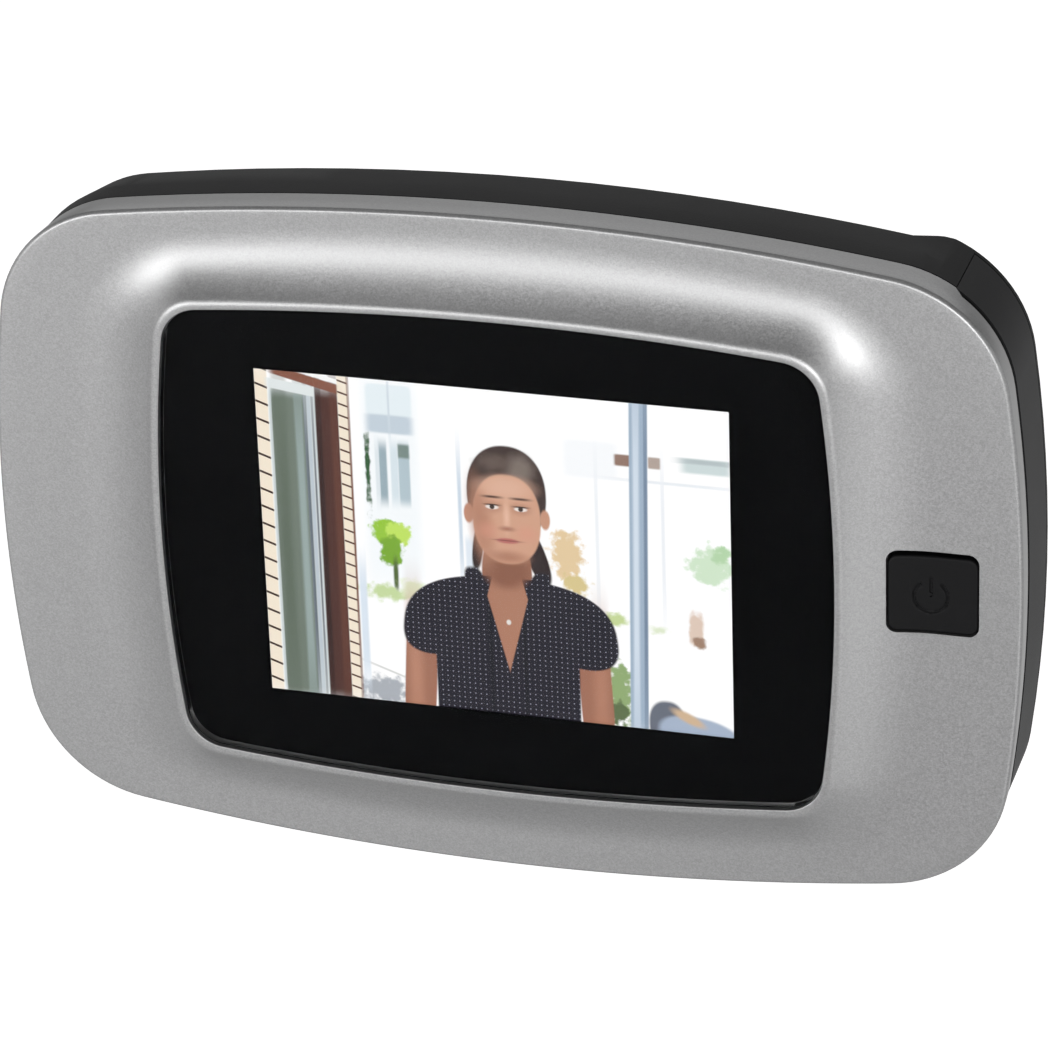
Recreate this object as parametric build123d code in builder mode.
from build123d import *
import os
from math import radians, sin, cos, sqrt

# Digital door viewer: an indoor monitor that hangs on a plate, and a camera barrel through the door.
# Millimetres. The origin is on the barrel's axis at the door's inner face.
# +X is to the right and +Z up for somebody who looks at the screen, and +Y goes through the door.

# Door and overall layout
door_thickness = 40.0
back_gap = 0.5
fit_gap = 0.1
seat_gap = 0.05
overrun = 2.0

# Silver bezel
frame_side = 21.6
frame_top = 11.85
ring_side_bow = 3.7
ring_top_bow = 5.2
ring_corner = 16.2
bezel_side = 5.4
bezel_draft = 0.3
bezel_edge = 0.5
bezel_wall = 1.8
front_wall = 1.8
mound_height = 2.9
flat_side = 8.2
flat_top = 1.15
foot_sink = 0.3
lip_width = 0.9
lip_edge = 0.25
mound_shares = (0.0, 0.25, 0.5, 0.75, 1.0)

# Window pane and its tape
pane_border_side = 12.45
pane_border_top = 9.15
window_side_bow = 2.1
window_top_bow = 2.15
window_corner = 5.0
pane_recess = 0.25
pane_thickness = 1.5
pane_bevel = 0.25
tape_thickness = 0.3
tape_margin = 0.4
ledge_thickness = 1.2

# Display
display_z = 0.3
picture_width = 57.6
picture_height = 43.2
glass_border_side = 4.2
glass_border_top = 2.2
glass_thickness = 1.2
hole_gap = 0.3
tray_rim_side = 1.6
tray_rim_top = 1.2
tray_depth = 1.9
tray_floor = 0.6
tray_wall = 1.2
flex_width = 22.0
flex_thickness = 0.25
flex_run = 5.0

# Display carrier and its screws
carrier_edge_side = 3.3
carrier_edge_top = 2.3
carrier_thickness = 1.2
carrier_corner = 3.0
carrier_rail_side = 8.8
carrier_rail_top = 6.6
stud_offset_x = 2.0
stud_offset_z = 1.4
side_stud_offset = 3.6
stud_radius = 1.6
small_screw_radius = 0.8
small_head_radius = 1.5
small_head_height = 0.9
small_screw_bite = 2.0

# Main board
board_reach_left = 7.6
board_reach_up = 0.8
board_holder_gap = 0.6
board_thickness = 1.2
board_lift = 1.5
board_post_radius = 2.0
board_post_inset_left = 4.9
board_post_inset_right = 4.8
board_post_offset = 2.5
processor_size = 13.0
processor_height = 1.2
processor_x = 24.0
processor_z = 9.0
memory_width = 8.0
memory_height = 11.0
memory_rise = 0.9
memory_x = 7.5
memory_z = 9.5
coil_size = 5.0
coil_rise = 2.2
coil_x = 26.0
coil_z = 19.0
coil_pitch = 7.0
coil_count = 3
coil_corner = 1.0
socket_width = 9.0
socket_height = 3.6
socket_rise = 2.0
socket_z = 22.0

# Power button, its switch and its board
button_inset = 10.55
button_width = 10.8
button_height = 10.6
button_corner = 1.3
button_play = 0.25
button_recess = 0.35
button_flange = 1.0
button_flange_thickness = 0.8
button_travel = 0.5
post_radius = 1.6
post_length = 0.95
plunger_radius = 1.4
plunger_length = 1.1
switch_size = 6.0
switch_height = 2.5
switch_bore_depth = 0.9
key_board_reach_left = 9.7
key_board_reach_right = 5.1
key_board_half_height = 5.6
key_board_thickness = 1.0
key_stud_reach = 8.0
key_stud_z = 3.6
key_stud_radius = 1.5
key_flex_width = 4.0
key_flex_hold = 3.0

# Rear housing
crease_depth = 9.0
back_inset = 1.5
housing_wall = 1.2
back_wall = 1.2
back_edge = 0.5
hump_start_inset = 16.35
hump_full_inset = 12.35
seam_inset = 9.15
lip_height = 1.5
lip_wall = 1.0
boss_inset = 20.85
boss_radius = 3.3
boss_gap = 1.2
screw_radius = 1.2
screw_head_radius = 2.1
screw_head_height = 1.5
screw_tip_gap = 0.3
screw_seat_depth = 10.5
screw_socket_width = 0.6
head_gap = 0.2

# Mounting plate and its hooks
plate_half_width = 21.0
plate_inset = 14.6
plate_thickness = 2.0
plate_corner = 4.0
plate_gap = 0.3
plate_edge = 0.4
hook_width = 8.0
hook_x = 14.5
hook_upper_inset = 10.5
hook_lower_inset = 9.5
hook_stem = 2.0
hook_tip = 3.8
hook_tip_thickness = 1.5
hook_wall_gap = 0.2
hook_lead = 0.8
lift = 4.3
recess_wall = 1.2
holder_recess_gap = 0.4

# Sleeve nut
sleeve_radius = 7.0
pilot_radius = 8.0
sleeve_end_gap = 3.5
nut_flange_radius = 11.0
nut_flange_thickness = 2.0
nut_edge = 0.5
nut_slot_width = 2.5
nut_slot_depth = 0.9
nut_window_gap = 0.6

# Camera barrel and what it holds
barrel_radius = 6.0
barrel_bore = 4.9
thread_gap = 0.05
barrel_start = 2.0
shoulder_length = 3.5
seal_thickness = 1.0
seal_radius = 11.5
flange_radius = 13.0
flange_thickness = 3.0
flange_edge = 1.2
lens_seat_radius = 6.4
lens_seat_depth = 1.2
dome_radius = 6.3
dome_rise = 2.2
holder_length = 10.5
holder_bore = 3.2
holder_front_bore = 4.1
holder_step = 3.0
inner_lens_radius = 3.1
inner_lens_thickness = 2.2
inner_lens_bulge = 0.7
camera_board_radius = 4.7
camera_board_thickness = 1.0
sensor_size = 4.2
sensor_height = 0.8
ribbon_width = 6.0
ribbon_thickness = 0.3
ribbon_reach = 4.6
plug_width = 7.4
plug_length = 3.4
plug_height = 2.2

# Battery holder, cells and contacts
cell_radius = 5.25
cell_length = 44.5
nub_radius = 1.9
nub_length = 1.0
cell_edge = 0.5
cell_gap = 0.15
cell_spacing = 0.4
holder_board_gap = 1.05
holder_carrier_gap = 0.15
holder_wall = 0.8
holder_skin = 0.35
holder_short = 1.0
bridge_thickness = 1.0
leaf_thickness = 0.25
leaf_rise = 0.85
leaf_half_length = 3.0
leaf_width = 4.0

# Battery cover
cover_step = 0.3
cover_gap = 0.25
cover_wall = 1.6
cover_web = 1.4
web_inset = 8.35
web_board_gap = 1.6
tongue_length = 7.0
tongue_gap = 0.85
tongue_width = 2.6
tongue_thickness = 2.0
tongue_depth = 8.2
rib_count = 8
rib_first_angle = 17.7
rib_pitch_angle = 3.7
rib_radius = 0.42
rib_end_gap = 1.4

# Widths and heights that follow from the sizes above, from the picture outwards
glass_width = picture_width + 2 * glass_border_side
glass_height = picture_height + 2 * glass_border_top
tray_width = glass_width + 2 * tray_rim_side
tray_height = glass_height + 2 * tray_rim_top
window_half_width = picture_width / 2 + pane_border_side
window_half_height = picture_height / 2 + pane_border_top
ring_half_width = window_half_width + frame_side
ring_half_height = window_half_height + frame_top
mound_side_width = frame_side - lip_width - flat_side
mound_top_width = frame_top - lip_width - flat_top
carrier_window_width = picture_width - 2 * carrier_rail_side
carrier_window_height = picture_height - 2 * carrier_rail_top
carrier_stud_x = tray_width / 2 + stud_offset_x
carrier_stud_z = tray_height / 2 + stud_offset_z
carrier_side_stud_x = tray_width / 2 + side_stud_offset
carrier_half_width = carrier_stud_x + carrier_edge_side
carrier_half_height = carrier_stud_z + carrier_edge_top

# Places across the monitor, from its right end inwards
button_x = ring_half_width - button_inset
key_board_left = button_x - key_board_reach_left
key_board_right = button_x + key_board_reach_right
key_stud_x = button_x - key_stud_reach
seam_x = ring_half_width - seam_inset
hump_start = ring_half_width - hump_start_inset
hump_full = ring_half_width - hump_full_inset
web_left = ring_half_width - web_inset
cell_end = web_left - leaf_rise - leaf_thickness - seat_gap
cell_start = cell_end - cell_length
holder_left = cell_start - seat_gap - leaf_rise - leaf_thickness - holder_wall
holder_right = cell_end - holder_short
board_left = carrier_half_width + board_reach_left
board_right = holder_left - board_holder_gap
board_post_left = board_left - board_reach_left - board_post_inset_left
board_post_right = board_right - board_post_inset_right
board_post_z = carrier_window_height / 2 + board_post_offset
monitor_x = plate_half_width + plate_gap + recess_wall + holder_recess_gap - holder_left
socket_x = monitor_x

# Heights above and below the monitor's middle
cell_pitch = 2 * cell_radius + cell_spacing
cell_room = cell_radius + cell_gap + holder_skin
first_cell_z = key_board_half_height + holder_board_gap + cell_room
box_low = first_cell_z - cell_room
box_high = first_cell_z + cell_pitch + cell_room
web_inner_z = key_board_half_height + web_board_gap
tongue_low = box_high + tongue_gap
board_half_height = carrier_half_height + board_reach_up
boss_x = ring_half_width - boss_inset
boss_z = max(board_half_height, box_high) + boss_gap + boss_radius
plate_half_height = ring_half_height - plate_inset
hook_upper_z = plate_half_height - hook_upper_inset
hook_lower_z = hook_lower_inset - plate_half_height

# Depths behind the flat silver ring
pane_front = pane_recess - mound_height
pane_back = pane_front + pane_thickness
ledge_front = pane_back + tape_thickness
ledge_back = ledge_front + ledge_thickness
glass_front = ledge_front + seat_gap
glass_back = glass_front + glass_thickness
tray_front = glass_back + seat_gap
tray_back = tray_front + tray_depth
carrier_front = tray_back + seat_gap
carrier_back = carrier_front + carrier_thickness
board_front = carrier_back + board_lift
board_back = board_front + board_thickness
cell_depth = carrier_back + holder_carrier_gap + cell_room
box_front = cell_depth - cell_room
box_back = cell_depth + cell_room
housing_inside = box_back + seat_gap
shell_depth = housing_inside + back_wall
ring_y = -(back_gap + shell_depth)
cover_front = bezel_side - cover_step
cover_back = housing_inside - cover_gap
lip_front = bezel_side - lip_height
lip_inset = bezel_wall + fit_gap
screw_length = screw_seat_depth - front_wall - screw_tip_gap
plate_front_depth = shell_depth + back_gap - plate_thickness
recess_floor = plate_front_depth - plate_gap
recess_inside = recess_floor - recess_wall
flange_back = front_wall + seat_gap
flange_end = flange_back + button_flange_thickness
plunger_front = flange_end + post_length + seat_gap
switch_front = plunger_front + plunger_length - switch_bore_depth + button_travel + seat_gap
key_board_front = switch_front + switch_height
key_board_back = key_board_front + key_board_thickness

# Places along the barrel's axis
sleeve_length = door_thickness - shoulder_length - sleeve_end_gap
camera_flange_y = door_thickness + seal_thickness
camera_front_y = camera_flange_y + flange_thickness
holder_back_y = camera_front_y - lens_seat_depth - holder_length
camera_board_y = holder_back_y - camera_board_thickness
holder_front_y = camera_front_y - lens_seat_depth
inner_lens_y = holder_back_y + (holder_length - holder_step - inner_lens_thickness) / 2
nut_seat = -plate_thickness - seat_gap
nut_front = nut_seat - nut_flange_thickness

# The bosses for the four housing screws and the seven places of the carrier and board screws
boss_places = [(x, z) for x in (-boss_x, boss_x) for z in (-boss_z, boss_z)]
carrier_studs = [
    (-carrier_stud_x, carrier_stud_z),
    (-carrier_stud_x, -carrier_stud_z),
    (carrier_side_stud_x, 0),
]
board_posts = [
    (x, z)
    for x in (-board_post_left, board_post_right)
    for z in (-board_post_z, board_post_z)
]
key_studs = [(key_stud_x, key_stud_z), (key_stud_x, -key_stud_z)]
hook_places = [(x, z) for x in (-hook_x, hook_x) for z in (hook_lower_z, hook_upper_z)]


# A plane that faces the viewer at some depth behind the flat silver ring, centred on the monitor
def monitor_plane(depth):
    return Plane(origin=(monitor_x, ring_y + depth, 0), x_dir=(1, 0, 0), z_dir=(0, -1, 0))


# The same plane centred on the barrel
def barrel_plane(depth):
    return Plane(origin=(0, ring_y + depth, 0), x_dir=(1, 0, 0), z_dir=(0, -1, 0))


# A plane that faces the viewer at a place along the barrel's axis
def axis_plane(y):
    return Plane(origin=(0, y, 0), x_dir=(1, 0, 0), z_dir=(0, -1, 0))


# A rectangle whose four sides bow outwards and whose corners are rounded
def bowed_face(plane, half_width, half_height, side_bow, top_bow, corner):
    corner_x = half_width - side_bow
    corner_z = half_height - top_bow
    with BuildSketch(plane) as face:
        with BuildLine():
            ThreePointArc((-corner_x, corner_z), (0, half_height), (corner_x, corner_z))
            ThreePointArc((corner_x, corner_z), (half_width, 0), (corner_x, -corner_z))
            ThreePointArc((corner_x, -corner_z), (0, -half_height), (-corner_x, -corner_z))
            ThreePointArc((-corner_x, -corner_z), (-half_width, 0), (-corner_x, corner_z))
        make_face()
        fillet(face.vertices(), corner)
    return face.sketch


# The monitor's outline, drawn in by an inset
def ring_face(depth, inset):
    return bowed_face(
        monitor_plane(depth),
        ring_half_width - inset,
        ring_half_height - inset,
        ring_side_bow,
        ring_top_bow,
        ring_corner - inset,
    )


# The window's outline, drawn out by an outset
def window_face(depth, outset):
    return bowed_face(
        monitor_plane(depth),
        window_half_width + outset,
        window_half_height + outset,
        window_side_bow,
        window_top_bow,
        window_corner + outset,
    )


# One level of the mound that rises to the window: share 0 is its foot and 1 its lip
def mound_face(share, sunk=0):
    spread = 1 - share
    side = lip_width + mound_side_width * spread
    top = lip_width + mound_top_width * spread
    return bowed_face(
        monitor_plane(sunk + foot_sink * spread - mound_height * share * share),
        window_half_width + side,
        window_half_height + top,
        window_side_bow + (ring_side_bow - window_side_bow) * spread,
        window_top_bow + (ring_top_bow - window_top_bow) * spread,
        window_corner + (side + top) / 2,
    )


# Height of the monitor's upper edge above its centre, left of the corner's rounding
def edge_height(x, inset):
    corner_x = ring_half_width - ring_side_bow
    radius = (corner_x * corner_x + ring_top_bow * ring_top_bow) / (2 * ring_top_bow)
    return ring_half_height - inset - radius + sqrt(radius * radius - x * x)


# Label a finished piece and write its STEP file
def save(piece, name):
    piece.part.label = name
    export_step(piece.part, f"parts/{name}.step")


# A plate that faces the viewer, from one depth back to another
def plate_between(plane_at, front, back, width, height, x=0, z=0, corner=0, mode=Mode.ADD):
    with BuildSketch(plane_at(back)) as outline:
        with Locations((x, z)):
            if corner:
                RectangleRounded(width, height, corner)
            else:
                Rectangle(width, height)
    extrude(outline.sketch, amount=back - front, mode=mode)


# Round pillars or holes at several places, from one depth back to another
def posts_between(plane_at, front, back, radius, places, mode=Mode.ADD):
    with BuildSketch(plane_at(back)) as circles:
        with Locations(*places):
            Circle(radius)
    extrude(circles.sketch, amount=back - front, mode=mode)


# Material inside the monitor's outline, drawn in by an inset, from one depth back to another
def ring_between(front, back, inset, mode=Mode.ADD):
    extrude(ring_face(back, inset), amount=back - front, mode=mode)


# Material inside the window's outline, drawn out by an outset, from one depth back to another
def window_between(front, back, outset, mode=Mode.ADD):
    extrude(window_face(back, outset), amount=back - front, mode=mode)


# A plane square to the cells' length, at a place along it
def cell_plane(x, z=0):
    return Plane(origin=(monitor_x + x, ring_y + cell_depth, z), x_dir=(0, 1, 0), z_dir=(1, 0, 0))


# Small pan-head screws that enter from behind, with a cross recess
def small_screws(head_seat, length, places):
    posts_between(monitor_plane, head_seat - length, head_seat, small_screw_radius, places)
    posts_between(monitor_plane, head_seat, head_seat + small_head_height, small_head_radius, places)
    cross_recess(head_seat + small_head_height, small_head_radius, places)


# A cross cut into screw heads that face the door, half a head deep
def cross_recess(head_top, head_radius, places):
    with BuildSketch(monitor_plane(head_top)) as crosses:
        with Locations(*places):
            Rectangle(head_radius, screw_socket_width)
            Rectangle(screw_socket_width, head_radius)
    extrude(crosses.sketch, amount=-small_head_height / 2, mode=Mode.SUBTRACT)


# A thin strip bent along a path in the plane of X and Y, and its width along Z
def bent_strip(points, z, thickness, width):
    with BuildSketch(strip_plane(z - width / 2)) as strip:
        with BuildLine():
            Polyline(*points)
        trace(line_width=thickness)
    extrude(strip.sketch, amount=width)


# A contact leaf that bows towards a cell's end
def bow_leaf(wall_x, rise, z):
    with BuildSketch(strip_plane(z - leaf_width / 2)) as leaf:
        with BuildLine():
            ThreePointArc(
                (wall_x, cell_depth - leaf_half_length),
                (wall_x + rise, cell_depth),
                (wall_x, cell_depth + leaf_half_length),
            )
        trace(line_width=leaf_thickness)
    extrude(leaf.sketch, amount=leaf_width)


# The plane of a strip's path: X to the right and depth towards the door, at one height
def strip_plane(z):
    return Plane(origin=(monitor_x, ring_y, z), x_dir=(1, 0, 0), z_dir=(0, 0, 1))


# Centre of the rounding that blends the monitor's side arc into its top or bottom arc
def corner_centre():
    corner_x = ring_half_width - ring_side_bow
    corner_z = ring_half_height - ring_top_bow
    side_radius = (corner_z * corner_z + ring_side_bow * ring_side_bow) / (2 * ring_side_bow)
    top_radius = (corner_x * corner_x + ring_top_bow * ring_top_bow) / (2 * ring_top_bow)
    side_centre = Vector(ring_half_width - side_radius, 0)
    top_centre = Vector(0, ring_half_height - top_radius)
    apart = top_centre - side_centre
    side_reach = side_radius - ring_corner
    top_reach = top_radius - ring_corner
    along = (side_reach**2 - top_reach**2 + apart.length**2) / (2 * apart.length)
    across = sqrt(side_reach**2 - along**2)
    unit = apart.normalized()
    return side_centre + unit * along + Vector(-unit.Y, unit.X) * -across


# One cell: its can and the nub at its positive end
def battery_cell(z, nub_right):
    can_start = cell_start if nub_right else cell_start + nub_length
    nub_start = cell_end - nub_length if nub_right else cell_start
    with BuildPart() as cell:
        with BuildSketch(cell_plane(can_start, z)):
            Circle(cell_radius)
        extrude(amount=cell_length - nub_length)
        chamfer(cell.edges().filter_by(GeomType.CIRCLE), cell_edge)
        with BuildSketch(cell_plane(nub_start, z)):
            Circle(nub_radius)
        extrude(amount=nub_length)
    return cell


# A round glass whose outer side is domed
def domed_glass(back, front, radius, rise):
    with BuildSketch(Plane.XY) as half_profile:
        with BuildLine():
            Polyline((0, front + rise), (0, back), (radius, back), (radius, front))
            TangentArc((0, front + rise), (radius, front), tangent=(1, 0))
        make_face()
    revolve(half_profile.sketch, axis=Axis.Y)


os.makedirs("parts", exist_ok=True)

# Silver bezel: side wall, mound round the window, window seat, button opening and screw bosses
with BuildPart() as front_bezel:
    loft([ring_face(0, 0), ring_face(bezel_side, bezel_draft)], ruled=True)
    fillet(front_bezel.faces().sort_by(Axis.Y)[0].edges(), bezel_edge)
    loft([mound_face(share) for share in mound_shares])
    ring_between(front_wall, bezel_side + overrun, bezel_wall, mode=Mode.SUBTRACT)
    window_between(ledge_back, front_wall + overrun, 0, mode=Mode.SUBTRACT)
    window_between(-mound_height - overrun, ledge_front, 0, mode=Mode.SUBTRACT)
    fillet(front_bezel.faces().sort_by(Axis.Y)[0].edges(), lip_edge)
    plate_between(
        monitor_plane,
        ledge_front - overrun,
        ledge_back + overrun,
        glass_width + 2 * hole_gap,
        glass_height + 2 * hole_gap,
        z=display_z,
        mode=Mode.SUBTRACT,
    )
    plate_between(
        monitor_plane,
        -overrun,
        front_wall + overrun,
        button_width,
        button_height,
        x=button_x,
        corner=button_corner,
        mode=Mode.SUBTRACT,
    )
    posts_between(monitor_plane, front_wall, bezel_side, boss_radius, boss_places)
    posts_between(
        monitor_plane,
        front_wall,
        bezel_side + overrun,
        screw_radius + seat_gap,
        boss_places,
        mode=Mode.SUBTRACT,
    )
    posts_between(monitor_plane, ledge_back, carrier_front - seat_gap, stud_radius, carrier_studs)
    posts_between(
        monitor_plane,
        carrier_front - 2 * seat_gap - small_screw_bite,
        carrier_front,
        small_screw_radius + seat_gap,
        carrier_studs,
        mode=Mode.SUBTRACT,
    )
    posts_between(monitor_plane, front_wall, key_board_front - seat_gap, key_stud_radius, key_studs)
    posts_between(
        monitor_plane,
        key_board_front - small_screw_bite - seat_gap,
        key_board_front,
        small_screw_radius + seat_gap,
        key_studs,
        mode=Mode.SUBTRACT,
    )
    plate_between(
        monitor_plane,
        cover_front - cover_gap,
        bezel_side + overrun,
        ring_half_width - seam_x + overrun,
        2 * ring_half_height,
        x=(ring_half_width + overrun + seam_x) / 2,
        mode=Mode.SUBTRACT,
    )
save(front_bezel, "front_bezel")

# Clear window pane with a narrow bevel, and the black tape frame that holds it in its seat
with BuildPart() as window_pane:
    window_between(pane_front, pane_back, -fit_gap)
    chamfer(window_pane.faces().sort_by(Axis.Y)[0].edges(), pane_bevel)
save(window_pane, "window_pane")

with BuildPart() as pane_tape:
    window_between(pane_back, ledge_front, -fit_gap)
    plate_between(
        monitor_plane,
        pane_back - overrun,
        ledge_front + overrun,
        picture_width + 2 * tape_margin,
        picture_height + 2 * tape_margin,
        z=display_z,
        mode=Mode.SUBTRACT,
    )
save(pane_tape, "pane_tape")

# Display: its glass, the backlight tray behind it and the flex that leads to the main board
with BuildPart() as display_glass:
    plate_between(monitor_plane, glass_front, glass_back, glass_width, glass_height, z=display_z)
save(display_glass, "display_glass")

with BuildPart() as backlight_tray:
    plate_between(monitor_plane, tray_front, tray_back, tray_width, tray_height, z=display_z)
    plate_between(
        monitor_plane,
        tray_front - overrun,
        tray_back - tray_floor,
        tray_width - 2 * tray_wall,
        tray_height - 2 * tray_wall,
        z=display_z,
        mode=Mode.SUBTRACT,
    )
save(backlight_tray, "backlight_tray")

with BuildPart() as backlight_guide:
    plate_between(
        monitor_plane,
        tray_front,
        tray_back - tray_floor - seat_gap,
        tray_width - 2 * tray_wall - 2 * fit_gap,
        tray_height - 2 * tray_wall - 2 * fit_gap,
        z=display_z,
    )
save(backlight_guide, "backlight_guide")

# Carrier that presses the display against the bezel and bears the main board
with BuildPart() as display_carrier:
    plate_between(
        monitor_plane,
        carrier_front,
        carrier_back,
        2 * carrier_half_width,
        2 * carrier_half_height,
        corner=carrier_corner,
    )
    plate_between(
        monitor_plane,
        carrier_front - overrun,
        carrier_back + overrun,
        carrier_window_width,
        carrier_window_height,
        corner=carrier_corner,
        mode=Mode.SUBTRACT,
    )
    posts_between(monitor_plane, carrier_back, board_front - seat_gap, board_post_radius, board_posts)
    posts_between(
        monitor_plane,
        carrier_back - seat_gap,
        board_front + overrun,
        small_screw_radius + seat_gap,
        board_posts,
        mode=Mode.SUBTRACT,
    )
    posts_between(
        monitor_plane,
        carrier_front - overrun,
        carrier_back + overrun,
        small_screw_radius + fit_gap,
        carrier_studs,
        mode=Mode.SUBTRACT,
    )
save(display_carrier, "display_carrier")


with BuildPart() as carrier_screws:
    small_screws(carrier_back, carrier_back - carrier_front + seat_gap + small_screw_bite, carrier_studs)
save(carrier_screws, "carrier_screws")

# Flex from the backlight tray, through the carrier's window, to the main board
with BuildPart() as display_flex:
    bent_strip(
        (
            (-carrier_window_width / 2 + fit_gap, tray_back + flex_thickness),
            (-carrier_window_width / 2 + flex_run, tray_back + flex_thickness),
            (-carrier_window_width / 2 + 2 * flex_run, board_front - flex_thickness),
            (-carrier_window_width / 2 + 3 * flex_run, board_front - flex_thickness),
        ),
        display_z,
        flex_thickness,
        flex_width,
    )
save(display_flex, "display_flex")

# Main board and what is soldered to its door side
with BuildPart() as main_board:
    plate_between(
        monitor_plane,
        board_front,
        board_back,
        board_left + board_right,
        2 * board_half_height,
        x=(board_right - board_left) / 2,
        corner=carrier_corner,
    )
    posts_between(
        monitor_plane,
        board_front - overrun,
        board_back + overrun,
        small_screw_radius + fit_gap,
        board_posts,
        mode=Mode.SUBTRACT,
    )
save(main_board, "main_board")

with BuildPart() as board_screws:
    small_screws(board_back, board_thickness + board_lift / 2, board_posts)
save(board_screws, "board_screws")

with BuildPart() as image_processor:
    plate_between(
        monitor_plane,
        board_back,
        board_back + processor_height,
        processor_size,
        processor_size,
        x=-processor_x,
        z=processor_z,
    )
save(image_processor, "image_processor")

with BuildPart() as memory_chip:
    plate_between(
        monitor_plane,
        board_back,
        board_back + memory_rise,
        memory_width,
        memory_height,
        x=-memory_x,
        z=memory_z,
    )
save(memory_chip, "memory_chip")

with BuildPart() as power_coils:
    for index in range(coil_count):
        plate_between(
            monitor_plane,
            board_back,
            board_back + coil_rise,
            coil_size,
            coil_size,
            x=-coil_x + index * coil_pitch,
            z=-coil_z,
            corner=coil_corner,
        )
save(power_coils, "power_coils")

with BuildPart() as camera_socket:
    plate_between(
        monitor_plane,
        board_back,
        board_back + socket_rise,
        socket_width,
        socket_height,
        x=-socket_x,
        z=socket_z,
    )
    plate_between(
        monitor_plane,
        board_back + socket_rise / 2,
        board_back + socket_rise + overrun,
        ribbon_width,
        socket_height / 3,
        x=-socket_x,
        z=socket_z,
        mode=Mode.SUBTRACT,
    )
save(camera_socket, "camera_socket")

# The surface that the button's face follows: the bezel's own, a little deeper
with BuildPart() as button_surface:
    loft([mound_face(share, button_recess) for share in mound_shares])
    ring_between(button_recess, flange_end, 0)

# Power button: a cap in the bezel's opening, held by a flange, that pushes a switch on its own board
with BuildPart() as power_button:
    plate_between(
        monitor_plane,
        -mound_height,
        flange_end,
        button_width - 2 * button_play,
        button_height - 2 * button_play,
        x=button_x,
        corner=button_corner - button_play,
    )
    add(button_surface.part, mode=Mode.INTERSECT)
    plate_between(
        monitor_plane,
        flange_back,
        flange_end,
        button_width + 2 * button_flange,
        button_height + 2 * button_flange,
        x=button_x,
        corner=button_corner,
    )
    posts_between(monitor_plane, flange_end, flange_end + post_length, post_radius, [(button_x, 0)])
save(power_button, "power_button")

with BuildPart() as switch_plunger:
    posts_between(
        monitor_plane,
        plunger_front,
        plunger_front + plunger_length,
        plunger_radius,
        [(button_x, 0)],
    )
save(switch_plunger, "switch_plunger")

with BuildPart() as button_switch:
    plate_between(
        monitor_plane,
        switch_front,
        key_board_front,
        switch_size,
        switch_size,
        x=button_x,
    )
    posts_between(
        monitor_plane,
        switch_front - overrun,
        switch_front + switch_bore_depth,
        plunger_radius + fit_gap,
        [(button_x, 0)],
        mode=Mode.SUBTRACT,
    )
save(button_switch, "button_switch")

with BuildPart() as button_board:
    plate_between(
        monitor_plane,
        key_board_front,
        key_board_back,
        key_board_right - key_board_left,
        2 * key_board_half_height,
        x=(key_board_left + key_board_right) / 2,
    )
    posts_between(
        monitor_plane,
        key_board_front - overrun,
        key_board_back + overrun,
        small_screw_radius + fit_gap,
        key_studs,
        mode=Mode.SUBTRACT,
    )
save(button_board, "button_board")

with BuildPart() as button_board_screws:
    small_screws(key_board_back, key_board_thickness + small_screw_bite, key_studs)
save(button_board_screws, "button_board_screws")

with BuildPart() as button_flex:
    bent_strip(
        (
            (key_board_left + key_flex_hold, key_board_back + flex_thickness / 2),
            (key_board_left, key_board_back + flex_thickness / 2),
            (board_right, board_back + flex_thickness / 2),
            (board_right - key_flex_hold, board_back + flex_thickness / 2),
        ),
        0,
        flex_thickness,
        key_flex_width,
    )
save(button_flex, "button_flex")

# The housing's battery end, which keeps its full depth where the rest of the back tapers
with BuildPart() as battery_end:
    ring_between(bezel_side, shell_depth, bezel_draft)
    shoulder_low = edge_height(hump_start, back_inset)
    shoulder_high = edge_height(hump_full, bezel_draft)
    with BuildSketch(monitor_plane(shell_depth)):
        with BuildLine():
            Polyline(
                (hump_start, -shoulder_low),
                (hump_start, shoulder_low),
                (hump_full, shoulder_high),
                (hump_full, ring_half_height),
                (ring_half_width, ring_half_height),
                (ring_half_width, -ring_half_height),
                (hump_full, -ring_half_height),
                (hump_full, -shoulder_high),
                close=True,
            )
        make_face()
    extrude(amount=shell_depth - bezel_side, mode=Mode.INTERSECT)

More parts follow.
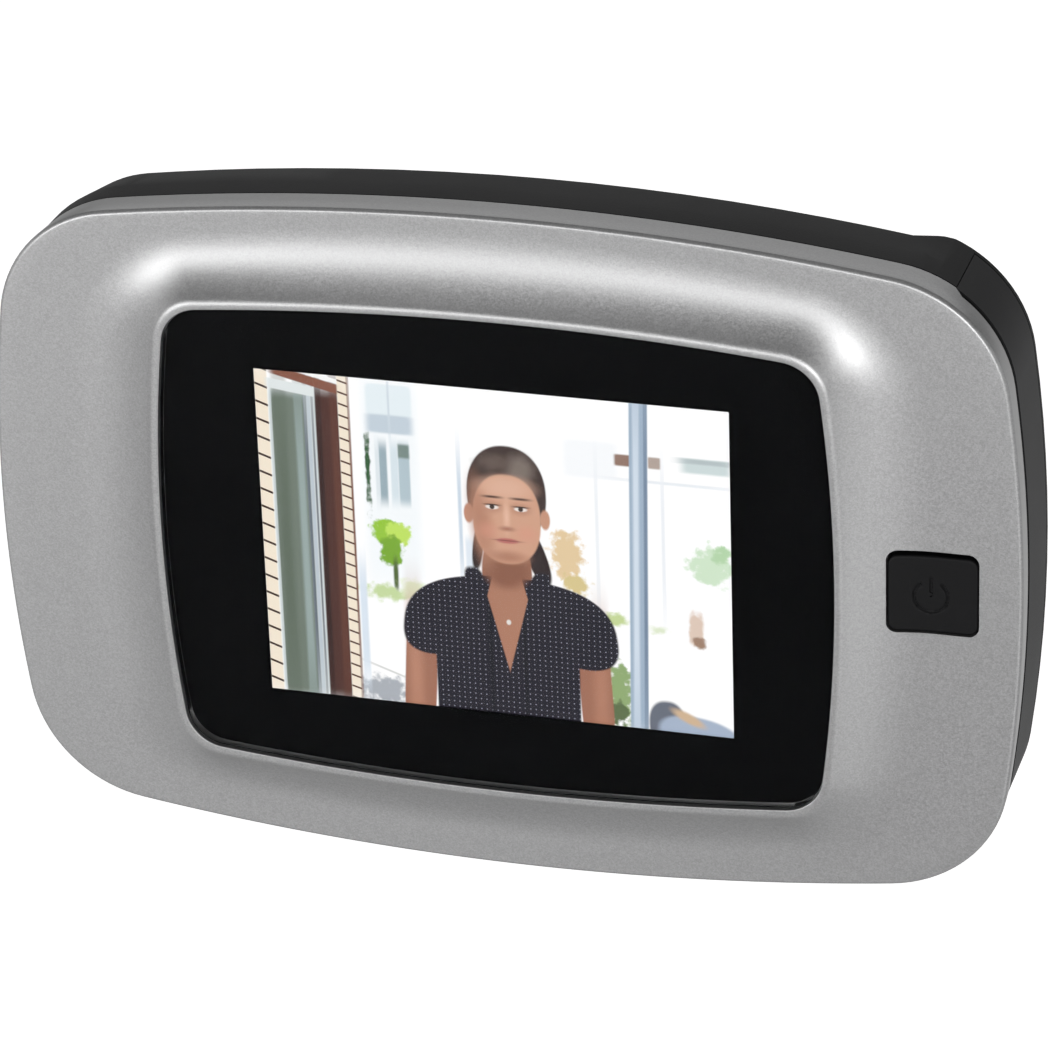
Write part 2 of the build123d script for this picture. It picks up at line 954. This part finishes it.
# Rear housing: a tray with a crease round it, a recess for the plate, hook slots and screw pillars
with BuildPart() as rear_housing:
    ring_between(bezel_side, crease_depth, bezel_draft)
    loft([ring_face(crease_depth, bezel_draft), ring_face(shell_depth, back_inset)], ruled=True)
    add(battery_end.part)
    chamfer(rear_housing.faces().sort_by(Axis.Y)[-1].edges(), back_edge)
    ring_between(bezel_side - overrun, housing_inside, back_inset + housing_wall, mode=Mode.SUBTRACT)
    ring_between(lip_front, bezel_side + lip_height, lip_inset)
    ring_between(
        lip_front - overrun,
        bezel_side + lip_height + overrun,
        lip_inset + lip_wall,
        mode=Mode.SUBTRACT,
    )
    posts_between(
        monitor_plane,
        lip_front - overrun,
        bezel_side,
        boss_radius + fit_gap,
        boss_places,
        mode=Mode.SUBTRACT,
    )
    posts_between(
        monitor_plane,
        bezel_side + seat_gap,
        housing_inside + back_wall / 2,
        boss_radius,
        boss_places,
    )
    posts_between(
        monitor_plane,
        bezel_side - overrun,
        shell_depth,
        screw_radius + fit_gap,
        boss_places,
        mode=Mode.SUBTRACT,
    )
    posts_between(
        monitor_plane,
        screw_seat_depth,
        shell_depth + overrun,
        screw_head_radius + head_gap,
        boss_places,
        mode=Mode.SUBTRACT,
    )
    plate_between(
        barrel_plane,
        recess_inside,
        shell_depth,
        2 * (plate_half_width + plate_gap + recess_wall),
        2 * (plate_half_height + plate_gap + recess_wall) + lift,
        z=-lift / 2,
    )
    plate_between(
        barrel_plane,
        recess_floor,
        shell_depth + overrun,
        2 * (plate_half_width + plate_gap),
        2 * (plate_half_height + plate_gap) + lift,
        z=-lift / 2,
        corner=plate_corner,
        mode=Mode.SUBTRACT,
    )
    with BuildSketch(barrel_plane(recess_floor + overrun)):
        with Locations((0, -lift / 2)):
            SlotCenterToCenter(lift, 2 * (nut_flange_radius + nut_window_gap), rotation=90)
    extrude(amount=recess_wall + 2 * overrun, mode=Mode.SUBTRACT)
    for hook_place_x, hook_place_z in hook_places:
        plate_between(
            barrel_plane,
            recess_inside - overrun,
            recess_floor + overrun,
            hook_width + 2 * plate_gap,
            hook_stem + lift + plate_gap + fit_gap,
            x=hook_place_x,
            z=hook_place_z - (lift + plate_gap - fit_gap) / 2,
            mode=Mode.SUBTRACT,
        )
    for side in (-1, 1):
        plate_between(
            monitor_plane,
            tongue_depth + tongue_thickness + fit_gap,
            housing_inside + back_wall / 2,
            seam_x - hump_start,
            tongue_width,
            x=(seam_x + hump_start) / 2,
            z=side * (tongue_low + tongue_width / 2),
        )
    plate_between(
        monitor_plane,
        bezel_side - lip_height - overrun,
        housing_inside,
        ring_half_width - seam_x + overrun,
        2 * ring_half_height,
        x=(ring_half_width + overrun + seam_x) / 2,
        mode=Mode.SUBTRACT,
    )
save(rear_housing, "rear_housing")

with BuildPart() as housing_screws:
    posts_between(
        monitor_plane,
        screw_seat_depth - screw_length,
        screw_seat_depth,
        screw_radius,
        boss_places,
    )
    posts_between(
        monitor_plane,
        screw_seat_depth,
        screw_seat_depth + screw_head_height,
        screw_head_radius,
        boss_places,
    )
    cross_recess(screw_seat_depth + screw_head_height, screw_head_radius, boss_places)
save(housing_screws, "housing_screws")

# Battery holder: two open-ended boxes with two bores each, joined by a bridge across the back
cell_heights = [side * (first_cell_z + index * cell_pitch) for side in (-1, 1) for index in range(2)]
with BuildPart() as battery_holder:
    for side in (-1, 1):
        plate_between(
            monitor_plane,
            box_front,
            box_back,
            holder_right - holder_left,
            box_high - box_low,
            x=(holder_right + holder_left) / 2,
            z=side * (box_low + box_high) / 2,
        )
    plate_between(
        monitor_plane,
        box_back - bridge_thickness,
        box_back,
        (holder_right - holder_left) / 2,
        2 * box_low,
        x=(holder_right + 3 * holder_left) / 4,
    )
    with BuildSketch(cell_plane(holder_left + holder_wall)):
        with Locations(*[(0, z) for z in cell_heights]):
            Circle(cell_radius + cell_gap)
    extrude(amount=holder_right - holder_left, mode=Mode.SUBTRACT)
save(battery_holder, "battery_holder")


for cell_index, cell_z in enumerate(cell_heights):
    save(battery_cell(cell_z, cell_index % 2 == 0), f"battery_cell_{cell_index + 1}")

# Contact leaves at the closed end of the bores
with BuildPart() as battery_springs:
    for cell_z in cell_heights:
        bow_leaf(holder_left + holder_wall + leaf_thickness / 2, leaf_rise, cell_z)
save(battery_springs, "battery_springs")

# Contacts on the cover: one plate for each pair of cells, with a leaf for each cell
with BuildPart() as cover_contacts:
    for side in (-1, 1):
        plate_between(
            monitor_plane,
            cell_depth - leaf_half_length,
            cell_depth + leaf_half_length,
            leaf_thickness,
            cell_pitch + leaf_width,
            x=web_left - leaf_thickness / 2,
            z=side * (first_cell_z + cell_pitch / 2),
        )
    for cell_z in cell_heights:
        bow_leaf(web_left - leaf_thickness / 2, -leaf_rise, cell_z)
save(cover_contacts, "cover_contacts")

# The webs behind the cover's wall that carry its contacts
with BuildPart() as cover_webs:
    ring_between(cover_front, cover_back, bezel_draft + cover_wall / 2)
    with BuildSketch(monitor_plane(cover_back)):
        for side in (-1, 1):
            with Locations((web_left + cover_web / 2, side * (web_inner_z + ring_half_height) / 2)):
                Rectangle(cover_web, ring_half_height - web_inner_z)
    extrude(amount=cover_back - cover_front, mode=Mode.INTERSECT)

# Battery cover: the housing's right end, with webs, two tongues and thumb ribs at its lower corner
with BuildPart() as battery_cover:
    ring_between(cover_front, cover_back, bezel_draft)
    ring_between(
        cover_front - overrun,
        cover_back + overrun,
        bezel_draft + cover_wall,
        mode=Mode.SUBTRACT,
    )
    rib_centre = corner_centre()
    rib_angles = [rib_first_angle + index * rib_pitch_angle for index in range(rib_count)]
    rib_reach = ring_corner - bezel_draft
    rib_places = [
        (rib_centre.X + rib_reach * cos(radians(angle)), -rib_centre.Y - rib_reach * sin(radians(angle)))
        for angle in rib_angles
    ]
    posts_between(
        monitor_plane,
        cover_front + rib_end_gap,
        cover_back - rib_end_gap,
        rib_radius,
        rib_places,
    )
    split(
        bisect_by=Plane(origin=(monitor_x + seam_x + fit_gap, 0, 0), z_dir=(1, 0, 0)),
        keep=Keep.TOP,
    )
    add(cover_webs.part)
    for side in (-1, 1):
        plate_between(
            monitor_plane,
            tongue_depth,
            tongue_depth + tongue_thickness,
            tongue_length + cover_web,
            tongue_width,
            x=web_left + (cover_web - tongue_length) / 2,
            z=side * (tongue_low + tongue_width / 2),
        )
save(battery_cover, "battery_cover")

# Mounting plate: a hole for the sleeve nut and four hooks that reach up behind the housing's back wall
hook_front = recess_inside - hook_wall_gap - hook_tip_thickness
hook_behind = recess_inside - hook_wall_gap
with BuildPart() as mounting_plate:
    plate_between(
        barrel_plane,
        plate_front_depth,
        shell_depth + back_gap,
        2 * plate_half_width,
        2 * plate_half_height,
        corner=plate_corner,
    )
    chamfer(mounting_plate.faces().sort_by(Axis.Y)[0].edges(), plate_edge)
    posts_between(
        axis_plane,
        -plate_thickness - overrun,
        overrun,
        pilot_radius + fit_gap,
        [(0, 0)],
        mode=Mode.SUBTRACT,
    )
    for hook_place_x, hook_place_z in hook_places:
        plate_between(
            barrel_plane,
            hook_front,
            plate_front_depth + plate_thickness / 2,
            hook_width,
            hook_stem,
            x=hook_place_x,
            z=hook_place_z,
        )
        plate_between(
            barrel_plane,
            hook_front,
            hook_behind,
            hook_width,
            hook_stem + hook_tip,
            x=hook_place_x,
            z=hook_place_z + hook_tip / 2,
        )
    for hook_place_z in (hook_lower_z, hook_upper_z):
        tip_height = hook_place_z + hook_stem / 2 + hook_tip
        lead_edges = (
            mounting_plate.edges()
            .filter_by(Axis.X)
            .filter_by_position(Axis.Y, ring_y + hook_behind - seat_gap, ring_y + hook_behind + seat_gap)
            .filter_by_position(Axis.Z, tip_height - seat_gap, tip_height + seat_gap)
        )
        chamfer(lead_edges, hook_lead)
save(mounting_plate, "mounting_plate")

# Sleeve nut: a slotted flange, a pilot collar in the plate's hole and a long sleeve in the door's hole
with BuildPart() as sleeve_nut:
    posts_between(axis_plane, nut_front, nut_seat, nut_flange_radius, [(0, 0)])
    chamfer(sleeve_nut.faces().sort_by(Axis.Y)[0].edges(), nut_edge)
    posts_between(axis_plane, nut_seat, -seat_gap, pilot_radius, [(0, 0)])
    posts_between(axis_plane, -seat_gap, sleeve_length, sleeve_radius, [(0, 0)])
    posts_between(
        axis_plane,
        nut_front - overrun,
        sleeve_length + overrun,
        barrel_radius + thread_gap,
        [(0, 0)],
        mode=Mode.SUBTRACT,
    )
    plate_between(
        axis_plane,
        nut_front - overrun,
        nut_front + nut_slot_depth,
        2 * nut_flange_radius + overrun,
        nut_slot_width,
        mode=Mode.SUBTRACT,
    )
save(sleeve_nut, "sleeve_nut")

# Camera barrel: tube, shoulder for the door's outer hole edge, and the outdoor flange with the lens seat
with BuildPart() as camera_barrel:
    posts_between(axis_plane, barrel_start, camera_flange_y, barrel_radius, [(0, 0)])
    posts_between(axis_plane, door_thickness - shoulder_length, camera_flange_y, sleeve_radius, [(0, 0)])
    posts_between(axis_plane, camera_flange_y, camera_front_y, flange_radius, [(0, 0)])
    fillet(camera_barrel.faces().sort_by(Axis.Y)[-1].edges(), flange_edge)
    posts_between(
        axis_plane,
        barrel_start - overrun,
        camera_front_y + overrun,
        barrel_bore,
        [(0, 0)],
        mode=Mode.SUBTRACT,
    )
    posts_between(
        axis_plane,
        camera_front_y - lens_seat_depth,
        camera_front_y + overrun,
        lens_seat_radius,
        [(0, 0)],
        mode=Mode.SUBTRACT,
    )
save(camera_barrel, "camera_barrel")

with BuildPart() as barrel_seal:
    posts_between(axis_plane, door_thickness, camera_flange_y, seal_radius, [(0, 0)])
    posts_between(
        axis_plane,
        door_thickness - overrun,
        camera_flange_y + overrun,
        sleeve_radius + fit_gap,
        [(0, 0)],
        mode=Mode.SUBTRACT,
    )
save(barrel_seal, "barrel_seal")


with BuildPart() as lens_dome:
    domed_glass(camera_front_y - lens_seat_depth + seat_gap, camera_front_y, dome_radius, dome_rise)
save(lens_dome, "lens_dome")

with BuildPart() as lens_holder:
    posts_between(axis_plane, holder_back_y, holder_front_y, barrel_bore - seat_gap, [(0, 0)])
    posts_between(
        axis_plane,
        holder_back_y - overrun,
        holder_front_y + overrun,
        holder_bore,
        [(0, 0)],
        mode=Mode.SUBTRACT,
    )
    posts_between(
        axis_plane,
        holder_front_y - holder_step,
        holder_front_y + overrun,
        holder_front_bore,
        [(0, 0)],
        mode=Mode.SUBTRACT,
    )
save(lens_holder, "lens_holder")

with BuildPart() as inner_lens:
    domed_glass(inner_lens_y, inner_lens_y + inner_lens_thickness, inner_lens_radius, inner_lens_bulge)
save(inner_lens, "inner_lens")

# Image sensor on its round board, with the ribbon that runs back through the barrel to its plug
with BuildPart() as image_sensor:
    plate_between(axis_plane, holder_back_y, holder_back_y + sensor_height, sensor_size, sensor_size)
save(image_sensor, "image_sensor")

with BuildPart() as camera_board:
    posts_between(axis_plane, camera_board_y, holder_back_y, camera_board_radius, [(0, 0)])
save(camera_board, "camera_board")

with BuildPart() as camera_ribbon:
    plate_between(axis_plane, -ribbon_reach, camera_board_y, ribbon_width, ribbon_thickness)
save(camera_ribbon, "camera_ribbon")

with BuildPart() as ribbon_plug:
    plate_between(axis_plane, -ribbon_reach - plug_length, -ribbon_reach, plug_width, plug_height)
save(ribbon_plug, "ribbon_plug")
